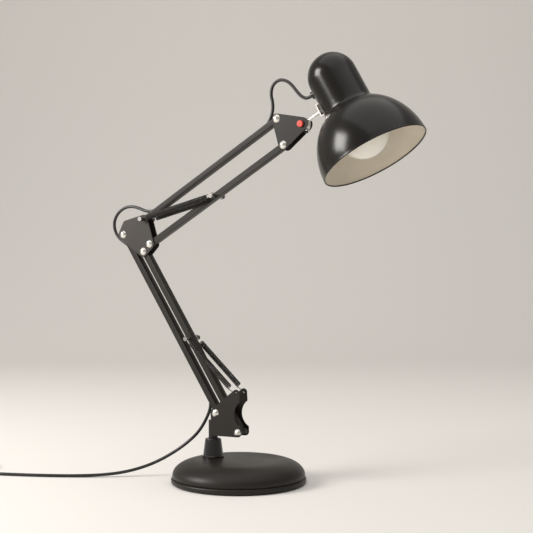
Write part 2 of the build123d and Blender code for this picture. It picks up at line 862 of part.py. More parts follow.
def make_shade_shell():
    outer = shade_profile(shade_opening_radius, shade_bell_height, shade_neck_radius, shade_neck_height)
    inner = shade_profile(
        shade_opening_radius - shade_wall,
        shade_bell_height - shade_wall,
        shade_neck_radius - shade_wall,
        shade_neck_height,
    )
    bead_place = Pos(shade_opening_radius - shade_rim_bead_inset, shade_rim_bead_lift)
    bead = bead_place * Circle(shade_rim_bead_radius)
    shell = shade_place * revolve(Plane.XZ * (outer - inner + bead), Axis.Z)
    return shell - neck_hole(shade_grommet_height, grommet_neck_radius + rivet_fit, grommet_stand * 2)


def make_shade_bracket():
    """A small chromed channel whose two legs stand on the neck."""
    outer_reach = shade_neck_radius + shade_bracket_standoff
    block = Box(shade_bracket_width, outer_reach, shade_bracket_length)
    block = Pos(0, outer_reach / 2, shade_rod_height) * block
    inner_reach = outer_reach - shade_bracket_wall
    inner_length = shade_bracket_length - 2 * shade_bracket_wall
    hollow = Box(shade_bracket_width + cut_overrun, inner_reach, inner_length)
    hollow = Pos(0, inner_reach / 2, shade_rod_height) * hollow
    neck = Pos(0, 0, shade_rod_height) * Cylinder(shade_neck_radius + rivet_fit, shade_bracket_length * 2)
    channel = block - hollow - neck
    return shade_place * channel - along_rod(0, rod_reach, rod_radius + pivot_clearance)


def neck_turn(near, far, radius):
    """A cylinder square to the neck's wall, from one distance off the shade's axis to another."""
    point = opening_centre + shade_up * shade_grommet_height + shade_side * ((near + far) / 2)
    return Plane(origin=point, z_dir=shade_side) * Cylinder(radius, far - near)


def make_grommet():
    """A rubber bush in the neck's wall, with a lip each side and the cord's bore."""
    wall_out = shade_neck_radius
    wall_in = wall_out - shade_wall - 2 * fit_gap
    neck_outside = shade_place * Cylinder(wall_out + rivet_fit, 3 * shade_neck_height)
    neck_inside = shade_place * Cylinder(wall_in, 3 * shade_neck_height)
    outside = neck_turn(wall_in, wall_out + grommet_stand, grommet_radius) - neck_outside
    flare = neck_turn(wall_in - 2 * grommet_lip, wall_out, grommet_radius) & neck_inside
    waist = neck_turn(wall_in - 2 * grommet_lip, wall_out + grommet_stand, grommet_neck_radius)
    bore = neck_turn(0, shade_neck_radius * 2, cord_radius + rivet_fit)
    return outside + flare + waist - bore


# Lamp holder and bulb
def make_mount_ring():
    outer = shade_neck_radius - shade_wall - rivet_fit
    ring = Pos(0, 0, mount_ring_height) * Cylinder(outer, mount_ring_wall)
    return shade_place * (ring - Cylinder(holder_radius + rivet_fit, 3 * mount_ring_height))


def make_holder():
    outline = [
        (holder_bore_radius, holder_mouth_height),
        (holder_lip_radius, holder_mouth_height),
        (holder_lip_radius, holder_mouth_height + holder_lip_height),
        (holder_radius, holder_mouth_height + holder_lip_height),
        (holder_radius, holder_top_height),
        (0, holder_top_height),
        (0, holder_floor_height),
        (holder_bore_radius, holder_floor_height),
    ]
    return turned(outline, shade_place)


def glass_face(radius, neck):
    """Half of the bulb's pear shape: a globe, then a straight taper up to the neck."""
    middle = bulb_centre_height
    globe = CenterArc(center=(0, middle), radius=radius, start_angle=-90, arc_size=bulb_globe_arc_angle)
    lines = [
        globe,
        Line(globe @ 1, (neck, bulb_neck_height)),
        Line((neck, bulb_neck_height), (0, bulb_neck_height)),
        Line((0, bulb_neck_height), (0, middle - radius)),
    ]
    return make_face(lines)


def make_bulb_glass():
    """The glass envelope, open where the metal cap takes its neck."""
    outer = revolve(Plane.XZ * glass_face(bulb_radius, bulb_neck_radius), Axis.Z)
    inner_face = glass_face(bulb_radius - bulb_glass_wall, bulb_neck_radius - bulb_glass_wall)
    return shade_place * (outer - revolve(Plane.XZ * inner_face, Axis.Z))


def make_bulb_cap():
    """The brass screw cap, with rounded thread ridges and a closed end."""
    body = Pos(0, 0, (bulb_neck_height + bulb_cap_top) / 2) * Cylinder(bulb_cap_radius, bulb_cap_length)
    for turn in range(bulb_thread_count):
        height = bulb_neck_height + bulb_thread_pitch * (turn + 1)
        body -= Pos(0, 0, height) * Torus(bulb_cap_radius + bulb_thread_depth, bulb_thread_pitch / 2)
    return shade_place * body


def make_bulb_contact():
    middle = bulb_cap_top + bulb_contact_length / 2
    tip = Pos(0, 0, middle) * Cylinder(bulb_contact_radius, bulb_contact_length)
    edge = tip.edges().filter_by(GeomType.CIRCLE).sort_by(Axis.Z)[-1]
    return shade_place * fillet(edge, bulb_contact_length / 2)


# Cord: points are the middle of the cord, in the order that the current reaches them
def make_bar_cord(start, axis, first, last):
    """The straight stretch of cord that lies inside a bar."""
    aside = quarter_left(axis) * cord_bar_offset
    near = start + axis * first + aside
    far = start + axis * last + aside
    return Plane(origin=(near + far) / 2, z_dir=axis) * Cylinder(cord_radius, (far - near).length)


elbow_loop_points = [
    (-145.1, 0, 262.0),
    (-151.6, 0, 272.1),
    (-159.0, 0, 280.4),
    (-168.1, 0, 285.2),
    (-177.6, 0, 291.2),
    (-184.2, 0, 300.6),
    (-185.6, 0, 311.5),
    (-180.6, 0, 321.8),
    (-170.8, 0, 329.0),
    (-158.6, 0, 331.3),
    (-146.6, 0, 328.8),
    (-134.2, 0, 323.8),
    (-122.5, 0, 324.7),
    (-111.8, 0, 328.3),
    (-102.4, 0, 333.9),
]
head_loop_points = [
    (19.9, 0, 406.2),
    (29.3, 0, 411.8),
    (37.1, 0, 418.3),
    (42.6, 0, 426.0),
    (46.2, 0, 434.8),
    (46.6, 0, 445.2),
    (43.6, 0, 456.2),
    (46.0, 0, 466.8),
    (55.4, 0, 472.4),
    (66.4, 0, 469.4),
    (74.0, 0, 461.8),
    (79.8, 0, 454.4),
    (85.6, 0, 449.2),
    (93.1, 0, 446.8),
    (105.1, 0, 453.65),
]
lead_points = [
    (-48.2, 0, 112.7),
    (-42.7, 0, 104.3),
    (-40.0, 0, 96.8),
    (-39.6, 0, 88.8),
    (-41.5, 0, 81.0),
    (-45.6, 0.4, 73.0),
    (-51.3, 1.4, 64.2),
    (-58.6, 1.4, 54.6),
    (-70.0, 0.4, 43.8),
    (-86.0, -4.5, 31.0),
    (-106.4, -15.6, 17.4),
    (-127.6, -30.6, 8.2),
    (-149.6, -48.8, 3.4),
    (-180.4, -70.2, 1.9),
    (-225.0, -92.6, 1.9),
    (-275.0, -109.8, 1.9),
    (-304.0, -119.5, 1.9),
    (-330.2, -128.0, 1.9),
]
tail_points = [
    (-375.9, -104.7, 6.2),
    (-380.5, -91.6, 6.2),
    (-385.9, -79.2, 4.8),
    (-392.2, -66.8, 4.9),
    (-399.4, -54.4, 6.8),
    (-414.1, -30.8, 6.8),
]


# Coil: the unseen length, wound clockwise inwards on the table and out again on top
def coil_place(turns):
    """Radius and height of the coil after a number of turns, with the climb round the reversal."""
    radius = coil_outer_radius - coil_turn_step * coil_layer_turn_count
    radius += coil_turn_step * abs(turns - coil_layer_turn_count)
    climb = min(max(turns - coil_layer_turn_count + 0.25, 0), 0.5) / 0.5
    return radius, cord_radius + coil_layer_step * (1 - cos(pi * climb)) / 2


def coil_point(turns):
    before, end = Vector(*lead_points[-2]), Vector(*lead_points[-1])
    ahead = (end - before).normalized()
    right = Vector(ahead.Y, -ahead.X, 0)
    centre = end + ahead * cord_diameter + right * coil_outer_radius
    radius, height = coil_place(turns)
    angle = 2 * pi * turns
    spoke = right * -cos(angle) + ahead * sin(angle)
    point = centre + spoke * radius
    return Vector(point.X, point.Y, height)


def coil_way(turns):
    """Direction of the coil's wire, from two places a hundredth of a turn apart."""
    step = 0.01
    return (coil_point(turns + step) - coil_point(turns - step)).normalized()


def coil_edges():
    last = 2 * coil_layer_turn_count
    count = int(last * coil_turn_step_count)
    start = Vector(*lead_points[-1])
    way = (start - Vector(*lead_points[-2])).normalized()
    point = start + way * cord_diameter
    edges = [Edge.make_line(start, point)]
    for step in range(1, count + 1):
        turns = last * step / count
        following = coil_point(turns)
        following_way = coil_way(turns)
        if step == count:
            following_way = Vector(following_way.X, following_way.Y, 0).normalized()
        edges += biarc(point, way, following, following_way)
        point, way = following, following_way
    edges.append(Edge.make_line(point, point + way * cord_diameter))
    return edges


def make_coil():
    edges = coil_edges()
    path = Wire(edges)
    coil = tube(path, cord_radius)
    wanted = pi * cord_radius ** 2 * path.length
    gap = least_gap(edges, cord_diameter, 2 * coil_outer_radius)
    end, way = path @ 1, path % 1
    print(f"coil: length {path.length:.0f}, least gap {gap:.2f}, volume ratio {coil.volume / wanted:.5f}")
    print(f"coil ends at {end.X:.2f} {end.Y:.2f} {end.Z:.2f} heading {way.X:.4f} {way.Y:.4f} {way.Z:.4f}")
    return coil


# Plug: a flat two-pin body whose local +Z is the way its pins point
plug_back = Vector(*tail_points[-1])
plug_way = (plug_back - Vector(*tail_points[-2])).normalized()
plug_place = Plane(origin=plug_back, x_dir=Vector(plug_way.Y, -plug_way.X, 0), z_dir=plug_way)


def make_plug():
    outline = make_face(
        Polyline(
            (-plug_back_width / 2, 0),
            (plug_back_width / 2, 0),
            (plug_width / 2, plug_length / 2),
            (plug_width / 2, plug_length),
            (-plug_width / 2, plug_length),
            (-plug_width / 2, plug_length / 2),
            close=True,
        )
    )
    body = Pos(0, plug_height / 2, 0) * extrude(Plane.XZ * outline, amount=plug_height)
    body = fillet(body.edges(), plug_edge_radius)
    for side in (-1, 1):
        place = Pos(side * plug_pin_spacing / 2, 0, plug_length)
        body -= place * Cylinder(plug_pin_radius + rivet_fit, plug_length)
    return plug_place * body


def make_plug_pins():
    pins = []
    for side in (-1, 1):
        length = plug_length / 2 + plug_pin_length
        middle = plug_length + plug_pin_length - length / 2
        pin = Pos(side * plug_pin_spacing / 2, 0, middle) * Cylinder(plug_pin_radius, length)
        pins.append(plug_place * fillet(pin.edges().sort_by(Axis.Z)[-1], plug_pin_radius * 0.8))
    return group(pins)


def make_plug_relief():
    profile = [
        (cord_radius + rivet_fit, -plug_relief_length),
        (plug_relief_narrow_radius, -plug_relief_length),
        (plug_relief_wide_radius, 0),
        (cord_radius + rivet_fit, 0),
    ]
    return turned(profile, plug_place)


def main():
    save(make_base_shell(), "base_shell")
    save(make_rim_plate(), "base_rim_plate")
    save(make_weight(), "base_weight")
    save(upright(0, 0, 0, pad_thickness, pad_radius - fit_gap), "base_pad")
    save(make_base_screws(), "base_screws")
    save(make_stem_tube(), "stem_tube")
    save(make_stem_nut(), "stem_nut")
    save(make_collar(), "collar")
    save(make_swivel_bush(), "swivel_bush")
    save(make_swivel_post(), "swivel_post")
    save(make_bracket_plate(-1), "bracket_front_plate")
    save(make_bracket_plate(1), "bracket_back_plate")
    save(make_rivets([pivot_a, pivot_b], bracket_outer_y), "bracket_rivets")
    save(make_post_pin(), "post_pin")
    save(group(make_washers([pivot_a, pivot_b], bracket_inner_gap, rivet_radius)), "bracket_spacers")
    save(make_bar(pivot_a, lower_axis, *lower_bar_size, rivet_hole, rivet_hole), "lower_rear_bar")
    front_bar = make_bar(pivot_b, lower_axis, *lower_bar_size, rivet_hole, open_hole, lower_spring_pin_share)
    save(front_bar, "lower_front_bar")
    save(make_spring_pin(lower_spring_pin), "lower_spring_pin")
    front = make_spring(lower_spring_pin, ear, False)
    save(front, "lower_spring_front")
    save(mirror(front, about=Plane.XZ), "lower_spring_back")
    save(make_elbow_plate(-1), "elbow_front_plate")
    save(make_elbow_plate(1), "elbow_back_plate")
    save(make_rivets([pivot_c, pivot_d, pivot_f], elbow_outer_y), "elbow_rivets")
    elbow_washers = make_washers([pivot_c, pivot_d, pivot_f], elbow_inner_gap, rivet_radius)
    elbow_washers += make_washers([pivot_e], elbow_inner_gap, spring_pin_radius)
    save(group(elbow_washers), "elbow_washers")
    save(make_spring_pin(pivot_e), "elbow_top_pin")
    front = make_spring(pivot_e, upper_spring_pin, True)
    save(front, "upper_spring_front")
    save(mirror(front, about=Plane.XZ), "upper_spring_back")
    save(make_bar(pivot_e, upper_axis, *upper_bar_size, top_pin_hole, rivet_hole), "upper_top_bar")
    bottom_bar = make_bar(pivot_f, upper_axis, *upper_bar_size, rivet_hole, open_hole, upper_spring_pin_share)
    save(bottom_bar, "upper_bottom_bar")
    save(make_spring_pin(upper_spring_pin), "upper_spring_pin")
    save(make_head_plate(-1), "head_front_plate")
    save(make_head_plate(1), "head_back_plate")
    save(make_rivets([pivot_g, pivot_h], head_outer_y), "head_rivets")
    save(group(make_washers([pivot_g, pivot_h], head_inner_gap, rivet_radius)), "head_washers")
    save(make_tilt_bolt(), "tilt_bolt")
    save(make_tilt_cap(), "tilt_cap")
    save(make_tilt_nut(), "tilt_nut")
    save(make_tilt_bush(), "tilt_bush")
    save(make_yoke_band(), "yoke_band")
    save(make_yoke_rod(), "yoke_rod")
    save(make_yoke_stud(), "yoke_stud")
    save(make_twist_washer(), "twist_washer")
    save(make_shade_shell(), "shade_shell")
    save(make_shade_bracket(), "shade_bracket")
    save(make_grommet(), "shade_grommet")
    save(make_mount_ring(), "holder_mount_ring")
    save(make_holder(), "lamp_holder")
    save(make_bulb_glass(), "bulb_glass")
    save(make_bulb_cap(), "bulb_cap")
    save(make_bulb_contact(), "bulb_contact")
    lower_cord_far = lower_arm_length - lower_cord_end
    save(make_bar_cord(pivot_a, lower_axis, lower_cord_start, lower_cord_far), "lower_bar_cord")
    save(cord_tube(elbow_loop_points, "elbow_cord_loop"), "elbow_cord_loop")
    upper_cord_far = upper_arm_length - upper_cord_end
    save(make_bar_cord(pivot_e, upper_axis, upper_cord_start, upper_cord_far), "upper_bar_cord")
    save(cord_tube(head_loop_points, "head_cord_loop"), "head_cord_loop")
    save(cord_tube(lead_points, "mains_lead"), "mains_lead")
    save(make_coil(), "mains_lead_coil")
    save(cord_tube(tail_points, "mains_lead_tail"), "mains_lead_tail")
    save(make_plug(), "mains_plug")
    save(make_plug_pins(), "plug_pins")
    save(make_plug_relief(), "plug_relief")


main()
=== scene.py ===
import bmesh
import bpy
import json
from math import atan2, cos, degrees, pi, radians, sin, sqrt
from mathutils import Matrix, Vector


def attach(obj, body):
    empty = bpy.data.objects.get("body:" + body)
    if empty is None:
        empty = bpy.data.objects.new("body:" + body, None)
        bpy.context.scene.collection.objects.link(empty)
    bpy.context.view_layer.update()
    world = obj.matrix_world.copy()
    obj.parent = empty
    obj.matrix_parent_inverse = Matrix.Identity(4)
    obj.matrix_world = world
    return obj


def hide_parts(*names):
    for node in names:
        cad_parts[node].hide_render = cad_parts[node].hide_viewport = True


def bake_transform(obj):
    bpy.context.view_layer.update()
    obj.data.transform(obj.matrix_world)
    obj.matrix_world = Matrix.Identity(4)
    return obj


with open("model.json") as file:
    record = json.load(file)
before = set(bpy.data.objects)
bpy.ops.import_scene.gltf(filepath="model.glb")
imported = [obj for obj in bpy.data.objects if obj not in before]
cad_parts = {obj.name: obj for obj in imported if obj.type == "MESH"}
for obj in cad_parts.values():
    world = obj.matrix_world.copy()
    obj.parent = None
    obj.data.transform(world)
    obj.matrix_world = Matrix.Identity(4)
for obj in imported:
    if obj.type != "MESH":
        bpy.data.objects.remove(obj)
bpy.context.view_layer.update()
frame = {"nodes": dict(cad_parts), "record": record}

# Camera: a long lens level with the middle of the lamp and turned 30 degrees from its side view,
# as the photograph was taken, for a picture of 533 x 533.
camera_place = Vector((0.6714, -1.0973, 0.2555))
camera_turn = radians(30)
camera_lens = 73.35
camera_sensor = 36
camera_near = 0.05
camera_data = bpy.data.cameras.new("photo_camera")
camera_data.lens = camera_lens
camera_data.sensor_width = camera_sensor
camera_data.clip_start = camera_near
camera = bpy.data.objects.new("photo_camera", camera_data)
camera.location = camera_place
camera.rotation_euler = (radians(90), 0, camera_turn)
bpy.context.scene.collection.objects.link(camera)
bpy.context.scene.camera = camera
bpy.context.scene.view_settings.view_transform = "Standard"


# Mains cord: black rubber-covered flex 3.8 mm thick, with a moulded plug on the end.
# It runs inside the folded arms, hangs clear of each joint in a loop, and lies coiled on the table.
# Each stretch is one smooth tube along the points of its route.
def add_node(tree, kind, **settings):
    """A new node in a tree, with its settings."""
    made = tree.nodes.new(kind)
    for name, value in settings.items():
        setattr(made, name, value)
    return made


def make_surface_group():
    """The unevenness of any finish: slow patches of colour and gloss, and a fine grain."""
    group = bpy.data.node_groups.new("surface unevenness", "ShaderNodeTree")
    face = group.interface
    face.new_socket("Color", in_out="INPUT", socket_type="NodeSocketColor")
    for label in ("Roughness", "Grain Scale", "Grain Depth", "Patch Scale", "Patch Depth"):
        face.new_socket(label, in_out="INPUT", socket_type="NodeSocketFloat")
    face.new_socket("Color", in_out="OUTPUT", socket_type="NodeSocketColor")
    face.new_socket("Roughness", in_out="OUTPUT", socket_type="NodeSocketFloat")
    face.new_socket("Normal", in_out="OUTPUT", socket_type="NodeSocketVector")
    given = add_node(group, "NodeGroupInput")
    out = add_node(group, "NodeGroupOutput")
    place = add_node(group, "ShaderNodeTexCoord")
    patches = add_node(group, "ShaderNodeTexNoise")
    patches.inputs["Detail"].default_value = 4.0
    patches.inputs["Roughness"].default_value = 0.6
    grain = add_node(group, "ShaderNodeTexNoise")
    swing = add_node(group, "ShaderNodeMapRange")
    for label, value in (("From Min", 0.35), ("From Max", 0.65), ("To Min", -1.0), ("To Max", 1.0)):
        swing.inputs[label].default_value = value
    tone = add_node(group, "ShaderNodeMath", operation="MULTIPLY_ADD")
    tone.inputs[2].default_value = 1.0
    gloss = add_node(group, "ShaderNodeMath", operation="MULTIPLY_ADD")
    gloss.inputs[1].default_value = 0.05
    tint = add_node(group, "ShaderNodeHueSaturation")
    bump = add_node(group, "ShaderNodeBump")
    bump.inputs["Strength"].default_value = 0.5
    links = group.links
    links.new(place.outputs["Object"], patches.inputs["Vector"])
    links.new(place.outputs["Object"], grain.inputs["Vector"])
    links.new(given.outputs["Patch Scale"], patches.inputs["Scale"])
    links.new(given.outputs["Grain Scale"], grain.inputs["Scale"])
    links.new(patches.outputs["Fac"], swing.inputs["Value"])
    links.new(swing.outputs["Result"], tone.inputs[0])
    links.new(given.outputs["Patch Depth"], tone.inputs[1])
    links.new(swing.outputs["Result"], gloss.inputs[0])
    links.new(given.outputs["Roughness"], gloss.inputs[2])
    links.new(given.outputs["Color"], tint.inputs["Color"])
    links.new(tone.outputs["Value"], tint.inputs["Value"])
    links.new(grain.outputs["Fac"], bump.inputs["Height"])
    links.new(given.outputs["Grain Depth"], bump.inputs["Distance"])
    links.new(tint.outputs["Color"], out.inputs["Color"])
    links.new(gloss.outputs["Value"], out.inputs["Roughness"])
    links.new(bump.outputs["Normal"], out.inputs["Normal"])
    return group


surface_group = make_surface_group()


def finish(name, color, roughness, surface, metallic=0.0, coat=0.0, specular=0.5):
    """A material of one colour and gloss, over a surface's grain scale, grain depth and patches."""
    made = bpy.data.materials.new(name)
    made.use_nodes = True
    tree = made.node_tree
    uneven = add_node(tree, "ShaderNodeGroup", node_tree=surface_group)
    uneven.inputs["Color"].default_value = (*color, 1)
    uneven.inputs["Roughness"].default_value = roughness
    for label, value in zip(("Grain Scale", "Grain Depth", "Patch Scale", "Patch Depth"), surface):
        uneven.inputs[label].default_value = value
    shader = tree.nodes["Principled BSDF"]
    shader.inputs["Metallic"].default_value = metallic
    shader.inputs["Coat Weight"].default_value = coat
    shader.inputs["Coat Roughness"].default_value = 0.18
    shader.inputs["Specular IOR Level"].default_value = specular
    tree.links.new(uneven.outputs["Color"], shader.inputs["Base Color"])
    tree.links.new(uneven.outputs["Roughness"], shader.inputs["Roughness"])
    tree.links.new(uneven.outputs["Normal"], shader.inputs["Normal"])
    return made


def paint(slot, surface):
    """Gives every part of the frame in this slot its material."""
    for part in frame["record"]["subparts"]:
        if part["material_slot"] == slot:
            mesh = frame["nodes"][part["node"]].data
            mesh.materials.clear()
            mesh.materials.append(surface)


rubber = (2200, 0.00002, 25, 0.12)
cord_cover = finish("black cord cover", (0.011, 0.010, 0.010), 0.34, rubber)
paint("cord_black", cord_cover)
moulded = (900, 0.00001, 14, 0.05)
plug_plastic = finish("glossy black plastic", (0.009, 0.009, 0.009), 0.22, moulded, coat=0.2)
paint("black_plastic", plug_plastic)

cord_size = 0.0038
lead_route = [
    (-0.0482, 0, 0.1127), (-0.0427, 0, 0.1043), (-0.0400, 0, 0.0968), (-0.0396, 0, 0.0888),
    (-0.0415, 0, 0.0810), (-0.0456, 0.0004, 0.0730), (-0.0513, 0.0014, 0.0642), (-0.0586, 0.0014, 0.0546),
    (-0.0700, 0.0004, 0.0438), (-0.0860, -0.0045, 0.0310), (-0.1064, -0.0156, 0.0174),
    (-0.1276, -0.0306, 0.0082), (-0.1496, -0.0488, 0.0034), (-0.1804, -0.0702, 0.0019),
    (-0.2250, -0.0926, 0.0019), (-0.2750, -0.1098, 0.0019), (-0.3040, -0.1195, 0.0019),
    (-0.3302, -0.1280, 0.0019),
]
tail_route = [
    (-0.3759, -0.1047, 0.0062), (-0.3805, -0.0916, 0.0062), (-0.3859, -0.0792, 0.0048),
    (-0.3922, -0.0668, 0.0049), (-0.3994, -0.0544, 0.0068), (-0.4141, -0.0308, 0.0068),
]
elbow_route = [
    (-0.1451, 0, 0.2620), (-0.1516, 0, 0.2721), (-0.1590, 0, 0.2804), (-0.1681, 0, 0.2852),
    (-0.1776, 0, 0.2912), (-0.1842, 0, 0.3006), (-0.1856, 0, 0.3115), (-0.1806, 0, 0.3218),
    (-0.1708, 0, 0.3290), (-0.1586, 0, 0.3313), (-0.1466, 0, 0.3288), (-0.1342, 0, 0.3238),
    (-0.1225, 0, 0.3247), (-0.1118, 0, 0.3283), (-0.1024, 0, 0.3339),
]
head_route = [
    (0.0199, 0, 0.4062), (0.0293, 0, 0.4118), (0.0371, 0, 0.4183), (0.0426, 0, 0.4260),
    (0.0462, 0, 0.4348), (0.0466, 0, 0.4452), (0.0436, 0, 0.4562), (0.0460, 0, 0.4668),
    (0.0554, 0, 0.4724), (0.0664, 0, 0.4694), (0.0740, 0, 0.4618), (0.0798, 0, 0.4544),
    (0.0856, 0, 0.4492), (0.0931, 0, 0.4468), (0.1051, 0, 0.45365),
]
coil_outer_radius = 0.0324
coil_turns_each_layer = 4.625
coil_turn_step = 0.0043
coil_points_each_turn = 16
coil_climb_turns = 0.5


def coil_route():
    """The put-away length: clockwise inwards on the table, then out again on top of itself."""
    end = Vector(lead_route[-1])
    ahead = (end - Vector(lead_route[-2])).normalized()
    right = Vector((ahead.y, -ahead.x, 0))
    centre = end + ahead * cord_size + right * coil_outer_radius
    points = []
    for step in range(1, int(2 * coil_turns_each_layer * coil_points_each_turn)):
        turns = step / coil_points_each_turn
        inner = coil_outer_radius - coil_turn_step * coil_turns_each_layer
        radius = inner + coil_turn_step * abs(turns - coil_turns_each_layer)
        radius /= cos(pi / coil_points_each_turn)
        climbed = turns - coil_turns_each_layer + coil_climb_turns / 2
        climb = min(max(climbed, 0), coil_climb_turns) / coil_climb_turns
        angle = 2 * pi * turns
        spoke = right * -cos(angle) + ahead * sin(angle)
        height = cord_size / 2 + coil_turn_step * (1 - cos(pi * climb)) / 2
        place = centre + spoke * radius
        points.append((place.x, place.y, height))
    return points


def between(a, b, share=0.5):
    """The point at a share of the way from a to b."""
    return tuple(Vector(a).lerp(Vector(b), share))


def spline_curve(name, points, thickness, sides=5):
    """A round cord along one NURBS spline with the route's points as control points."""
    curve = bpy.data.curves.new(name, "CURVE")
    curve.dimensions = "3D"
    curve.resolution_u = 6
    curve.bevel_depth = thickness / 2
    curve.bevel_resolution = sides
    curve.use_fill_caps = True
    spline = curve.splines.new("NURBS")
    spline.points.add(len(points) - 1)
    for control, point in zip(spline.points, points):
        control.co = (*point, 1)
    spline.order_u = 3
    spline.use_endpoint_u = True
    obj = bpy.data.objects.new(name, curve)
    bpy.context.scene.collection.objects.link(obj)
    return obj


def as_mesh(obj):
    """The object's final mesh, with its bevel or nodes worked in."""
    bpy.context.view_layer.update()
    seen = obj.evaluated_get(bpy.context.evaluated_depsgraph_get())
    return bpy.data.meshes.new_from_object(seen)


def cord_piece(name, points, nodes):
    """A stretch of cord as a mesh tube along the points of its route, in place of the listed frame nodes.
    """
    curve = spline_curve(name + "_line", points, cord_size)
    mesh = as_mesh(curve)
    curve.data.bevel_depth = 0
    line = as_mesh(curve)
    bpy.data.objects.remove(curve)
    mesh.name = name
    mesh.materials.clear()
    mesh.materials.append(cord_cover)
    mesh.polygons.foreach_set("use_smooth", [True] * len(mesh.polygons))
    piece = bpy.data.objects.new(name, mesh)
    bpy.context.scene.collection.objects.link(piece)
    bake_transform(piece)
    for part in nodes:
        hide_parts(part)


lower_bar_middle = between(lead_route[0], elbow_route[0])
upper_bar_middle = between(elbow_route[-1], head_route[0])
lead_split = between(lead_route[4], lead_route[5])
elbow_split = between(elbow_route[7], elbow_route[8])
head_split = between(head_route[4], head_route[5])
head_end_split = between(head_route[8], head_route[9])
cord_piece(
    "cord_leaving_arm",
    [lower_bar_middle, between(lower_bar_middle, lead_route[0], 0.6)] + lead_route[:5] + [lead_split],
    ["lower_bar_cord"],
)
cord_piece(
    "cord_to_plug", [lead_split] + lead_route[5:] + coil_route() + tail_route,
    ["mains_lead", "mains_lead_coil", "mains_lead_tail"],
)
cord_piece(
    "cord_elbow_lower",
    [lower_bar_middle, between(lower_bar_middle, elbow_route[0], 0.6)] + elbow_route[:8] + [elbow_split],
    ["elbow_cord_loop"],
)
cord_piece(
    "cord_elbow_upper",
    [elbow_split] + elbow_route[8:] + [between(elbow_route[-1], upper_bar_middle, 0.4), upper_bar_middle],
    ["upper_bar_cord"],
)
cord_piece(
    "cord_head_lower",
    [upper_bar_middle, between(upper_bar_middle, head_route[0], 0.6)] + head_route[:5] + [head_split],
    ["head_cord_loop"],
)
cord_piece(
    "cord_head_middle", [head_split] + head_route[5:9] + [head_end_split],
    [],
)
cord_piece(
    "cord_head_end", [head_end_split] + head_route[9:],
    [],
)


# Base: a cast iron weight under a pressed steel cover, on a rim disc with a foam pad below.
# The cover and the rim are powder coated dark brown, with a dark seam between them, and screws
# from below hold the weight to the rim disc.
powder = (1500, 0.00004, 9, 0.10)
coat_dark = finish("dark brown powder coat", (0.014, 0.0115, 0.0095), 0.42, powder, specular=0.3)
paint("coat_dark", coat_dark)
cast = (420, 0.0002, 30, 0.2)
paint("base_iron", finish("cast iron", (0.12, 0.12, 0.125), 0.6, cast, metallic=0.8))
paint("pad_foam", finish("black foam pad", (0.02, 0.02, 0.02), 0.9, rubber))
turned = (1200, 0.00001, 40, 0.10)
paint("steel", finish("turned steel", (0.26, 0.25, 0.24), 0.38, turned, metallic=1.0))


axis_radius = 1e-6


def lathe(name, profile, place, surfaces, inside=None, steps=144):
    """Spins a profile of (radius, height); the rows from inside[0] to inside[1] take the second surface."""
    made = bmesh.new()
    rings = []
    for radius, height in profile:
        if radius < axis_radius:
            rings.append([made.verts.new((0, 0, height))] * steps)
        else:
            turn = [2 * pi * step / steps for step in range(steps)]
            rings.append([made.verts.new((radius * cos(a), radius * sin(a), height)) for a in turn])
    for index, (low, high) in enumerate(zip(rings, rings[1:])):
        for step in range(steps):
            following = (step + 1) % steps
            corners = [low[step], low[following], high[following], high[step]]
            corners = list(dict.fromkeys(corners))
            if len(corners) > 2:
                face = made.faces.new(corners)
                face.smooth = True
                face.material_index = 1 if inside and inside[0] <= index < inside[1] else 0
    bmesh.ops.recalc_face_normals(made, faces=made.faces)
    mesh = bpy.data.meshes.new(name)
    made.to_mesh(mesh)
    made.free()
    mesh.transform(place)
    for surface in surfaces:
        mesh.materials.append(surface)
    obj = bpy.data.objects.new(name, mesh)
    bpy.context.scene.collection.objects.link(obj)
    return obj


def arc(centre, radius_x, radius_y, start, end, count):
    """Points of an elliptical arc, with angles in degrees."""
    angles = [radians(start + (end - start) * i / count) for i in range(count + 1)]
    return [(centre[0] + radius_x * cos(a), centre[1] + radius_y * sin(a)) for a in angles]


base_radius = 0.080
cover_radius = 0.0785
cover_inside_radius = 0.0745
cover_foot = 0.0071
cover_foot_edge = 0.001
cover_foot_round = 0.0006
shoulder_foot = 0.0098
shoulder_width = 0.0295
shoulder_height = 0.0172
cover_flat_radius = 0.030
cover_top = shoulder_foot + shoulder_height
cover_profile = [
    (cover_inside_radius, cover_foot), (cover_radius - cover_foot_edge, cover_foot),
    (cover_radius, cover_foot + cover_foot_round),
]
shoulder_centre = (cover_radius - shoulder_width, shoulder_foot)
cover_profile += arc(shoulder_centre, shoulder_width, shoulder_height, 0, 90, 40)
cover_profile += [(cover_flat_radius, cover_top), (0, cover_top)]
cover = lathe("base_cover", cover_profile, Matrix(), [coat_dark])
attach(cover, "base")
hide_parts("base_shell")

rim_round = 0.0022
rim_round_centre = base_radius - rim_round
rim_bottom = 0.0008
rim_top = 0.0070
rim_inside_radius = 0.0741
rim_inside_bevel = 0.0004
rim_profile = [(rim_inside_radius, rim_bottom), (rim_round_centre, rim_bottom)]
rim_profile += arc((rim_round_centre, rim_bottom + rim_round), rim_round, rim_round, -90, 0, 8)
rim_profile += arc((rim_round_centre, rim_top - rim_round), rim_round, rim_round, 0, 90, 8)
rim_profile.append((rim_inside_radius + rim_inside_bevel, rim_top))
rim_profile.append((rim_inside_radius, rim_top - rim_inside_bevel / 2))
rim = lathe("base_rim", rim_profile, Matrix(), [coat_dark])
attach(rim, "base")
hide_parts("base_rim_plate")

# Bushes and washers: grey nylon. The post turns in one bush, the tilt joint has another, and a
# washer stands between each bar and its plates, so that the coated faces never rub.
paint("nylon", finish("grey nylon", (0.10, 0.10, 0.10), 0.5, moulded))
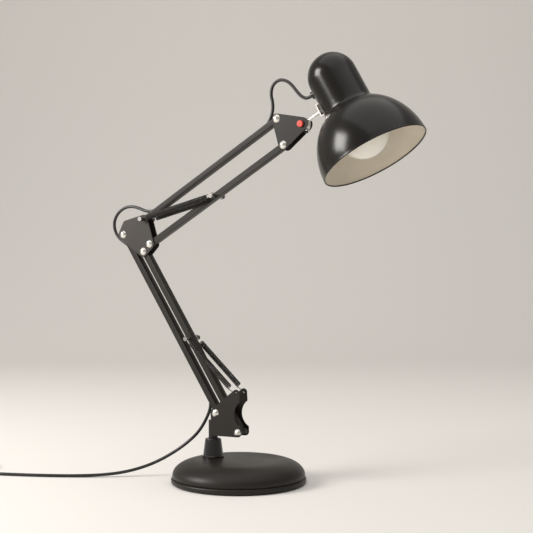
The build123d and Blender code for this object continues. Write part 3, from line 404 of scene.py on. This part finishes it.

# Elbow plates: two flat steel plates that carry the four pivots where the lower arm meets the upper arm.
# Their coat is a warmer grey than the bars, painted lighter to stand in for the satin sheen they catch.
paint("coat_plate", finish("plate coat with painted sheen", (0.040, 0.035, 0.030), 0.42, powder, specular=0.3))

# Rivets, yoke, shade bracket and plug pins: bright nickel plating. The rivets hold the plates to
# the bars, and the yoke's band and rod carry the shade by its bracket.
plating = (2600, 0.000004, 30, 0.04)
paint("nickel", finish("bright nickel", (0.74, 0.72, 0.68), 0.26, plating, metallic=1.0))

# Tilt cap: a coral red moulded plastic cap, pressed over the end of the bolt that the shade
# tilts on. It is the only coloured piece.
paint("red_plastic", finish("coral red cap", (0.72, 0.075, 0.052), 0.34, moulded, coat=0.1))


# Arm bars: four folded steel channels with the cord inside, powder coated dark brown.
# Their long edges are rounded, as a press brake leaves them, and the holes for the rivets stay
# sharp. Two bars side by side make each arm a parallelogram.
bar_edge_radius = 0.00045
bar_hole_reach = 0.003
weld_distance = 1e-6
outline_inset = 1e-5
flat_angle = radians(1)
square_angle = radians(50)
smooth_angle = radians(28)


def softened_bar(name, source, body, first, last):
    """A copy of a bar whose outline edges are rounded and whose holes stay sharp."""
    made = bmesh.new()
    made.from_mesh(frame["nodes"][source].data)
    bmesh.ops.remove_doubles(made, verts=made.verts, dist=weld_distance)
    bmesh.ops.dissolve_limit(made, angle_limit=flat_angle, verts=made.verts, edges=made.edges)
    side = max(abs(vertex.co.y) for vertex in made.verts) - outline_inset
    along = (last - first).normalized()
    chosen = []
    for edge in made.edges:
        ends = [vertex.co for vertex in edge.verts]
        if min(abs(end.y) for end in ends) < side or edge.calc_face_angle(0) < square_angle:
            continue
        middle = (ends[0] + ends[1]) / 2
        reach = min(max((middle - first).dot(along), 0), (last - first).length)
        offset = middle - first - along * reach
        if Vector((offset.x, 0, offset.z)).length > bar_hole_reach:
            chosen.append(edge)
    bmesh.ops.bevel(
        made, geom=chosen, offset=bar_edge_radius, segments=3, profile=0.5, affect="EDGES",
    )
    mesh = bpy.data.meshes.new(name)
    made.to_mesh(mesh)
    made.free()
    mesh.polygons.foreach_set("use_smooth", [True] * len(mesh.polygons))
    mesh.set_sharp_from_angle(angle=smooth_angle)
    mesh.materials.append(coat_dark)
    piece = bpy.data.objects.new(name, mesh)
    bpy.context.scene.collection.objects.link(piece)
    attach(piece, body)
    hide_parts(source)


lower_arm_length = 0.256
lower_arm_way = Vector((-0.544639, 0, 0.838671))
lower_reach = lower_arm_way * lower_arm_length
upper_arm_length = 0.220
upper_arm_way = Vector((0.860742, 0, 0.509041))
upper_reach = upper_arm_way * upper_arm_length
pivot_a = Vector((-0.0272, 0, 0.0810))
pivot_b = Vector((0.003713, 0, 0.059595))
pivot_e = Vector((-0.134928, 0, 0.3143))
pivot_f = Vector((-0.126349, 0, 0.283575))
softened_bar("bar_lower_rear", "lower_rear_bar", "lower_rear_arm", pivot_a, pivot_a + lower_reach)
softened_bar("bar_lower_front", "lower_front_bar", "lower_front_arm", pivot_b, pivot_b + lower_reach)
softened_bar("bar_upper_top", "upper_top_bar", "upper_top_arm", pivot_e, pivot_e + upper_reach)
softened_bar("bar_upper_bottom", "upper_bottom_bar", "upper_bottom_arm", pivot_f, pivot_f + upper_reach)


# Springs: black spring steel wire wound close into a coil, with a hook bent at each end.
# Two pull the lower arm and two the upper arm, outside the bars, from a plate or pin to a pin
# through the bar. Each is cut into stretches along its length.
spring_steel = finish("black spring steel", (0.030, 0.027, 0.025), 0.30, plating, metallic=0.5, coat=0.2)
paint("spring_black", spring_steel)
spring_wire = 0.0009
spring_radius = 0.00295
spring_side = 0.0108
spring_pin_radius = 0.0027
spring_points_each_turn = 14
spring_stretches = 6
spring_coil_gap = 0.0085
spring_ear_gap = 0.011
lower_spring_turns = 66
upper_spring_turns = 81
lower_spring_swings = (45,)
upper_spring_swings = (-45, 60)
spring_ear = Vector((0.0016, 0, 0.1062))
lower_pin_share = 0.507
upper_pin_share = 0.503
lower_pin = pivot_b + lower_reach * lower_pin_share
upper_pin = pivot_f + upper_reach * upper_pin_share


def helix_tree(name):
    """Geometry nodes that wind a round wire into a helix along +Z."""
    tree = bpy.data.node_groups.new(name, "GeometryNodeTree")
    face = tree.interface
    face.new_socket("Geometry", in_out="INPUT", socket_type="NodeSocketGeometry")
    for label in ("Turns", "Radius", "Wire Radius", "Length"):
        face.new_socket(label, in_out="INPUT", socket_type="NodeSocketFloat")
    face.new_socket("Steps", in_out="INPUT", socket_type="NodeSocketInt")
    face.new_socket("Material", in_out="INPUT", socket_type="NodeSocketMaterial")
    face.new_socket("Geometry", in_out="OUTPUT", socket_type="NodeSocketGeometry")
    given = add_node(tree, "NodeGroupInput")
    out = add_node(tree, "NodeGroupOutput")
    spiral = add_node(tree, "GeometryNodeCurveSpiral")
    ring = add_node(tree, "GeometryNodeCurvePrimitiveCircle")
    ring.inputs["Resolution"].default_value = 8
    skin = add_node(tree, "GeometryNodeCurveToMesh")
    skin.inputs["Fill Caps"].default_value = True
    smooth = add_node(tree, "GeometryNodeSetShadeSmooth")
    real = add_node(tree, "GeometryNodeRealizeInstances")
    coat = add_node(tree, "GeometryNodeSetMaterial")
    links = tree.links
    links.new(given.outputs["Steps"], spiral.inputs["Resolution"])
    links.new(given.outputs["Turns"], spiral.inputs["Rotations"])
    links.new(given.outputs["Radius"], spiral.inputs["Start Radius"])
    links.new(given.outputs["Radius"], spiral.inputs["End Radius"])
    links.new(given.outputs["Length"], spiral.inputs["Height"])
    links.new(given.outputs["Wire Radius"], ring.inputs["Radius"])
    links.new(spiral.outputs["Curve"], skin.inputs["Curve"])
    links.new(ring.outputs["Curve"], skin.inputs["Profile Curve"])
    links.new(skin.outputs["Mesh"], smooth.inputs["Geometry"])
    links.new(smooth.outputs["Geometry"], real.inputs["Geometry"])
    links.new(real.outputs["Geometry"], coat.inputs["Geometry"])
    links.new(given.outputs["Material"], coat.inputs["Material"])
    links.new(coat.outputs["Geometry"], out.inputs["Geometry"])
    return tree


helix = helix_tree("wound wire")


def helix_mesh(name, length, turns):
    """The helix as a plain mesh along +Z from the origin."""
    carrier = bpy.data.objects.new(name, bpy.data.meshes.new(name))
    bpy.context.scene.collection.objects.link(carrier)
    rule = carrier.modifiers.new("wound wire", "NODES")
    rule.node_group = helix
    values = {
        "Turns": float(turns), "Radius": spring_radius, "Wire Radius": spring_wire / 2, "Length": length,
        "Steps": spring_points_each_turn, "Material": spring_steel,
    }
    for item in helix.interface.items_tree:
        if item.in_out == "INPUT" and item.name in values:
            rule[item.identifier] = values[item.name]
    mesh = as_mesh(carrier)
    bpy.data.objects.remove(carrier)
    return mesh


def straight_weight(point, pivot, near, far, turns):
    """How far a point turns with the moving end, so that the stretched coil stays nearly straight."""
    weights = []
    for turn in turns:
        swung = Matrix.Rotation(radians(turn), 3, "Y") @ (far - pivot) + pivot
        way = (swung - near).normalized()
        foot = (pivot - near).dot(way)
        clear = (pivot - near).length_squared - foot * foot
        reach = foot + sqrt(max((point - pivot).length_squared - clear, 0.0))
        target = near + way * min(max(reach, 0.0), (swung - near).length)
        swing = atan2(point.z - pivot.z, point.x - pivot.x)
        swing -= atan2(target.z - pivot.z, target.x - pivot.x)
        swing = (swing + pi) % (2 * pi) - pi
        weights.append(min(max(swing / radians(turn), 0.0), 1.0))
    return sum(weights) / len(weights)


def hook_curve(name, points, thickness):
    """A bent wire as a mesh."""
    curve = spline_curve(name, [tuple(p) for p in points], thickness, 3)
    mesh = as_mesh(curve)
    bpy.data.objects.remove(curve)
    return mesh


def join(name, meshes):
    """One mesh from several, keeping their material."""
    whole = bmesh.new()
    for mesh in meshes:
        whole.from_mesh(mesh)
    made = bpy.data.meshes.new(name)
    whole.to_mesh(made)
    whole.free()
    made.materials.append(spring_steel)
    made.polygons.foreach_set("use_smooth", [True] * len(made.polygons))
    made.polygons.foreach_set("material_index", [0] * len(made.polygons))
    return made


def place_along(start, direction, side):
    """The matrix that lays a mesh made along +Z on a line in the arm's plane."""
    across = Vector((0, side, 0))
    return Matrix.Translation(start) @ Matrix((
        (across.cross(direction).x, across.x, direction.x, 0),
        (across.cross(direction).y, across.y, direction.y, 0),
        (across.cross(direction).z, across.z, direction.z, 0),
        (0, 0, 0, 1),
    ))


def spring_piece(name, near, far, near_gap, in_ear, side, turns, pivot, swings, replaced):
    """One spring as a row of coil stretches with a hook at each end, in place of the frame's spring."""
    direction = (far - near).normalized()
    rise = Vector((-direction.z, 0, direction.x))
    offset = Vector((0, side * spring_side, 0))
    span = (far - near).length
    body = span - near_gap - spring_coil_gap
    last_index = spring_stretches - 1
    for index in range(spring_stretches):
        begin = span * index / spring_stretches
        stop = span * (index + 1) / spring_stretches
        coil_begin = max(begin, near_gap)
        coil_stop = min(stop, span - spring_coil_gap)
        coil_length = coil_stop - coil_begin
        first_turn = turns * (coil_begin - near_gap) / body
        coil = helix_mesh(name, coil_length, turns * coil_length / body)
        coil.transform(Matrix.Rotation(2 * pi * (first_turn % 1), 4, "Z"))
        coil.transform(place_along(near + direction * coil_begin + offset, direction, side))
        meshes = [coil]
        if index == 0:
            meshes.append(hook_mesh(name, near, direction, rise, offset, near_gap, in_ear, side))
        if index == last_index:
            meshes.append(hook_mesh(name, far, -direction, rise, offset, spring_coil_gap, False, side))
        piece = bpy.data.objects.new(f"{name}_{index + 1}", join(name, meshes))
        bpy.context.scene.collection.objects.link(piece)
        first_weight = 0.0
        last_weight = 1.0
        if index > 0:
            first_weight = straight_weight(near + direction * begin, pivot, near, far, swings)
        if index < last_index:
            last_weight = straight_weight(near + direction * stop, pivot, near, far, swings)
        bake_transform(piece)
        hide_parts(replaced)


hook_bend = 0.0012
ear_bend = 0.0015
ear_lift = 0.0002
ear_first_reach = 0.0018
ear_last_reach = 0.005


def hook_mesh(name, pin, along, rise, offset, gap, in_ear, side):
    """Wire from the coil's end to a hook round a pin, or through the plate's ear."""
    r = spring_pin_radius
    centre = pin + offset
    start = centre + along * gap + rise * spring_radius
    points = [start, centre + along * (gap - hook_bend) + rise * r]
    if in_ear:
        inward = Vector((0, -side, 0))
        points += [centre + along * ear_bend + rise * ear_lift, centre]
        points += [centre + inward * ear_first_reach, centre + inward * ear_last_reach]
    else:
        points += [centre + along * r + rise * r, centre + rise * r * 1.15]
        points += [centre - along * r * 1.15 + rise * r]
        points += [centre - along * r * 1.2 - rise * r * 0.6, centre - along * r * 0.2 - rise * r * 1.2]
        points += [centre + along * r * 0.7 - rise * r]
    return hook_curve(name, points, spring_wire)


for side, label in ((-1, "front"), (1, "back")):
    spring_piece(
        "spring_lower_" + label, spring_ear, lower_pin, spring_ear_gap, True, side,
        lower_spring_turns, pivot_b, lower_spring_swings,
        "lower_spring_" + label,
    )
    spring_piece(
        "spring_upper_" + label, pivot_e, upper_pin, spring_coil_gap, False, side,
        upper_spring_turns, pivot_f, upper_spring_swings,
        "upper_spring_" + label,
    )


# Shade: one thin spun steel shell, a bell with a round-topped neck and a rolled rim.
# It is coated nearly black outside and enamelled cream inside, and hangs by a bracket on the
# yoke's rod.
coat_shade = finish("shade powder coat", (0.0085, 0.0070, 0.0058), 0.25, powder, coat=0.12, specular=0.3)
enamel_inside = finish("cream enamel", (0.80, 0.74, 0.63), 0.38, powder, coat=0.1, specular=0.3)
paint("shade_coat", coat_shade)
shade_up = Vector((-0.495459, 0, 0.868632))
shade_side = Vector((-0.868632, 0, -0.495459))
opening_centre = Vector((0.176922, 0, 0.376033))
shade_place = Matrix.Translation(opening_centre) @ Matrix((
    (0, shade_side.x, shade_up.x, 0),
    (1, shade_side.y, shade_up.y, 0),
    (0, shade_side.z, shade_up.z, 0),
    (0, 0, 0, 1),
))
shade_radius = 0.063
bell_height = 0.0725
neck_radius = 0.0283
neck_top = 0.1068
shade_wall = 0.001
bell_start_angle = 2.5
hollow_reach = 0.0022
hollow_drop = 0.0004
hollow_rise = 0.0035
bead_radius = 0.0009
bead_inset = 0.0008
bead_lift = 0.0012
bead_start_angle = 150
bead_end_angle = 380
bell_steps = 40


def shade_skin(rim, bell, neck):
    """One skin of the shade from the rim to the top, with a small hollow where bell meets neck."""
    meet = bell * sqrt(1 - (neck / rim) ** 2)
    meet_angle = degrees(atan2(meet / bell, neck / rim))
    bell_arc = arc((0, 0), rim, bell, bell_start_angle, meet_angle, bell_steps)
    skin = [point for point in bell_arc if point[0] > neck + hollow_reach]
    last = Vector(skin[-1])
    corner = Vector((neck, meet - hollow_drop))
    above = Vector((neck, meet + hollow_rise))
    for share in (0.2, 0.4, 0.6, 0.8, 1.0):
        skin.append(tuple(last.lerp(corner, share).lerp(corner.lerp(above, share), share)))
    skin += [(neck, meet + (neck_top - meet) * share) for share in (0.3, 0.6, 0.9)]
    return skin + arc((0, neck_top), neck, neck, 0, 89, 20) + [(0, neck_top + neck)]


outer_skin = shade_skin(shade_radius, bell_height, neck_radius)
inner_skin = shade_skin(shade_radius - shade_wall, bell_height - shade_wall, neck_radius - shade_wall)
bead_centre = (shade_radius - bead_inset, bead_lift)
rim_bead = arc(bead_centre, bead_radius, bead_radius, bead_start_angle, bead_end_angle, 16)
shade_profile = list(reversed(inner_skin)) + rim_bead + outer_skin
shade_coats = [coat_shade, enamel_inside]
shade = lathe("shade", shade_profile, shade_place, shade_coats, inside=(0, len(inner_skin)))
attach(shade, "shade")
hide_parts("shade_shell")

# Bulb: an opal glass globe drawn into its neck, in a plated brass cap and a black holder.
# The globe ends 3 mm inside the shade's rim, so that it shows in the opening.
paint("holder_black", finish("matte black plastic", (0.02, 0.02, 0.021), 0.5, moulded))
paint("bulb_brass", finish("plated brass", (0.74, 0.66, 0.46), 0.25, plating, metallic=1.0))
opal_glass = finish("opal bulb glass", (0.93, 0.90, 0.83), 0.2, moulded, coat=0.4)
paint("bulb_white", opal_glass)
globe_radius = 0.030
globe_centre = 0.033
globe_end_angle = 35
glass_waist = Vector((0.0165, 0.0635))
glass_neck = Vector((0.0136, 0.081))
glass_end_radius = 0.0125
bulb_profile = arc((0, globe_centre), globe_radius, globe_radius, -90, globe_end_angle, 40)
bulb_profile[0] = (0, globe_centre - globe_radius)
globe_end = Vector(bulb_profile[-1])
for share in (0.15, 0.3, 0.45, 0.6, 0.75, 0.9, 1.0):
    below = globe_end.lerp(glass_waist, share)
    bulb_profile.append(tuple(below.lerp(glass_waist.lerp(glass_neck, share), share)))
bulb_profile.append((glass_end_radius, glass_neck.y))
bulb_profile.append((0, glass_neck.y))
bulb = lathe("bulb", bulb_profile, shade_place, [opal_glass], steps=96)
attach(bulb, "shade")
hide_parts("bulb_glass")


# Stage: a sweep of pale paper that is floor and backdrop in one, under soft studio light.
# One square lamp from the left is the key, a wide one overhead fills, and the world is a warm white.
paper = (300, 0.00001, 1, 0.0)
pale_paper = finish("pale paper", (0.82, 0.80, 0.77), 0.85, paper)
floor_front = -3.0
floor_back = 1.6
floor_drop = 0.00005
sweep_radius = 1.2
wall_top = 4.5
half_width = 4


def backdrop():
    """The sheet of paper, square to the camera, with a round sweep up from floor to wall."""
    made = bmesh.new()
    ahead = Vector((-sin(camera_turn), cos(camera_turn), 0))
    aside = Vector((cos(camera_turn), sin(camera_turn), 0))
    line = [(floor_front, 0.0), (floor_back, 0.0)]
    for angle in range(6, 91, 6):
        bend = radians(angle)
        line.append((floor_back + sweep_radius * sin(bend), sweep_radius - sweep_radius * cos(bend)))
    line.append((floor_back + sweep_radius, wall_top))
    rows = []
    for forward, height in line:
        middle = ahead * forward + Vector((0, 0, height - floor_drop))
        left = made.verts.new(middle - aside * half_width)
        right = made.verts.new(middle + aside * half_width)
        rows.append([left, right])
    for low, high in zip(rows, rows[1:]):
        made.faces.new((low[0], low[1], high[1], high[0])).smooth = True
    mesh = bpy.data.meshes.new("backdrop")
    made.to_mesh(mesh)
    made.free()
    mesh.materials.append(pale_paper)
    obj = bpy.data.objects.new("backdrop", mesh)
    bpy.context.scene.collection.objects.link(obj)


def area_light(name, place, target, size, power, color):
    """A square lamp that faces its target."""
    data = bpy.data.lights.new(name, "AREA")
    data.energy = power
    data.size = size
    data.color = color
    light = bpy.data.objects.new(name, data)
    light.location = place
    light.rotation_euler = (Vector(target) - Vector(place)).to_track_quat("-Z", "Y").to_euler()
    bpy.context.scene.collection.objects.link(light)


backdrop()
key_place = (-1.15, -1.15, 0.95)
key_target = (0, 0, 0.22)
key_size = 0.75
top_place = (0.3, -0.2, 2.4)
top_target = (0, 0, 0.1)
top_size = 3.2
lamp_power = 30
world_strength = 0.38
area_light("key", key_place, key_target, key_size, lamp_power, (1.0, 0.97, 0.93))
area_light("top", top_place, top_target, top_size, lamp_power, (1.0, 0.97, 0.94))
world = bpy.data.worlds.new("studio")
bpy.context.scene.world = world
world.use_nodes = True
world.node_tree.nodes["Background"].inputs["Color"].default_value = (1.0, 0.97, 0.93, 1)
world.node_tree.nodes["Background"].inputs["Strength"].default_value = world_strength
